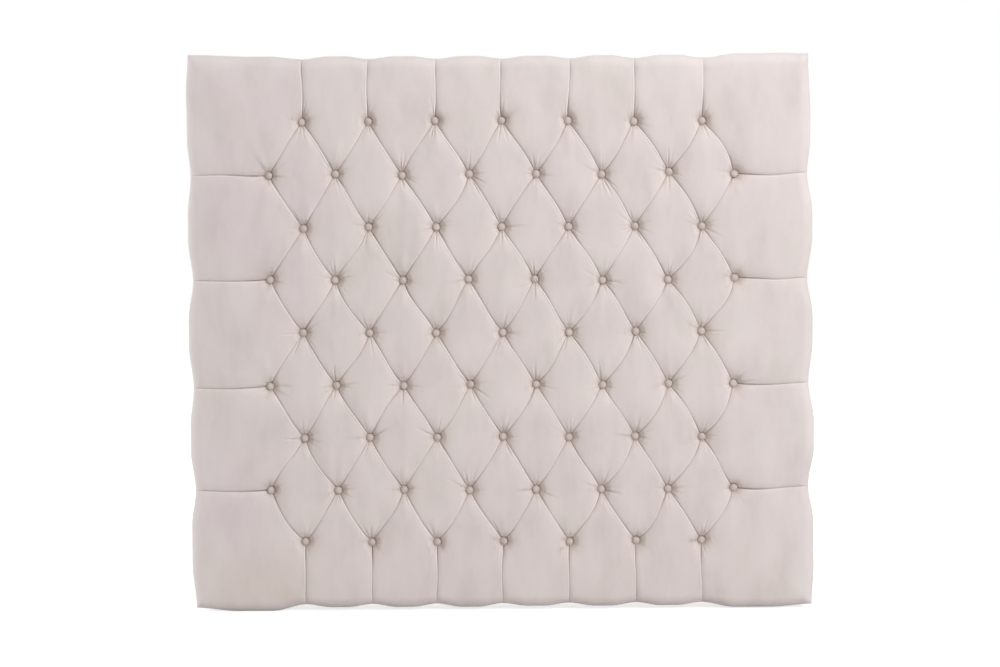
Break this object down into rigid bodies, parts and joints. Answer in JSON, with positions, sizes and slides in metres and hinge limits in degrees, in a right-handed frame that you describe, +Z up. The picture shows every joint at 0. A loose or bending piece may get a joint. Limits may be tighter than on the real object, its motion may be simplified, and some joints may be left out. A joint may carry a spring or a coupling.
{
  "type": "headboard",
  "caption": "Rectangular upholstered double-bed headboard with deep-buttoned diamond tufting over the whole front and puffed, pleated edges.",
  "frame": {"origin": "middle of the width and of the depth, at the lowest line of the upholstery", "axes": "+X to the right of someone facing the tufted front, across the bed; +Y towards the wall, so the tufted front faces -Y; +Z up"},
  "size_m": [1.413, 0.1184, 1.2593],
  "materials": {
    "velvet": "matte pale pink-grey velvet",
    "button_velvet": "matte pale pink-grey velvet",
    "foam": "matte",
    "wadding": "matte",
    "frame_wood": "planed, unfinished",
    "board": "unfinished plywood",
    "twine": "matte",
    "toggle_plastic": "matte",
    "insert_steel": "zinc plated",
    "lining": "matte non-woven cloth"
  },
  "bodies": {
    "root": {"frame_stile_left": "frame_wood", "frame_stile_right": "frame_wood", "frame_upright_left": "frame_wood", "frame_upright_right": "frame_wood", "frame_rail_bottom": "frame_wood", "frame_rail_middle": "frame_wood", "frame_rail_top": "frame_wood", "corner_blocks": "frame_wood", "face_board": "board", "threaded_inserts": "insert_steel", "foam_pad": "foam", "velvet_cover": "velvet", "back_lining": "lining", "edge_wadding_left": "wadding", "edge_wadding_right": "wadding", "edge_wadding_top": "wadding", "edge_wadding_bottom": "wadding", "button_row_1": "button_velvet", "twine_row_1": "twine", "toggle_row_1": "toggle_plastic", "button_row_2": "button_velvet", "twine_row_2": "twine", "toggle_row_2": "toggle_plastic", "button_row_3": "button_velvet", "twine_row_3": "twine", "toggle_row_3": "toggle_plastic", "button_row_4": "button_velvet", "twine_row_4": "twine", "toggle_row_4": "toggle_plastic", "button_row_5": "button_velvet", "twine_row_5": "twine", "toggle_row_5": "toggle_plastic", "button_row_6": "button_velvet", "twine_row_6": "twine", "toggle_row_6": "toggle_plastic", "button_row_7": "button_velvet", "twine_row_7": "twine", "toggle_row_7": "toggle_plastic", "button_row_8": "button_velvet", "twine_row_8": "twine", "toggle_row_8": "toggle_plastic", "button_row_9": "button_velvet", "twine_row_9": "twine", "toggle_row_9": "toggle_plastic"}
  },
  "joints": []
}
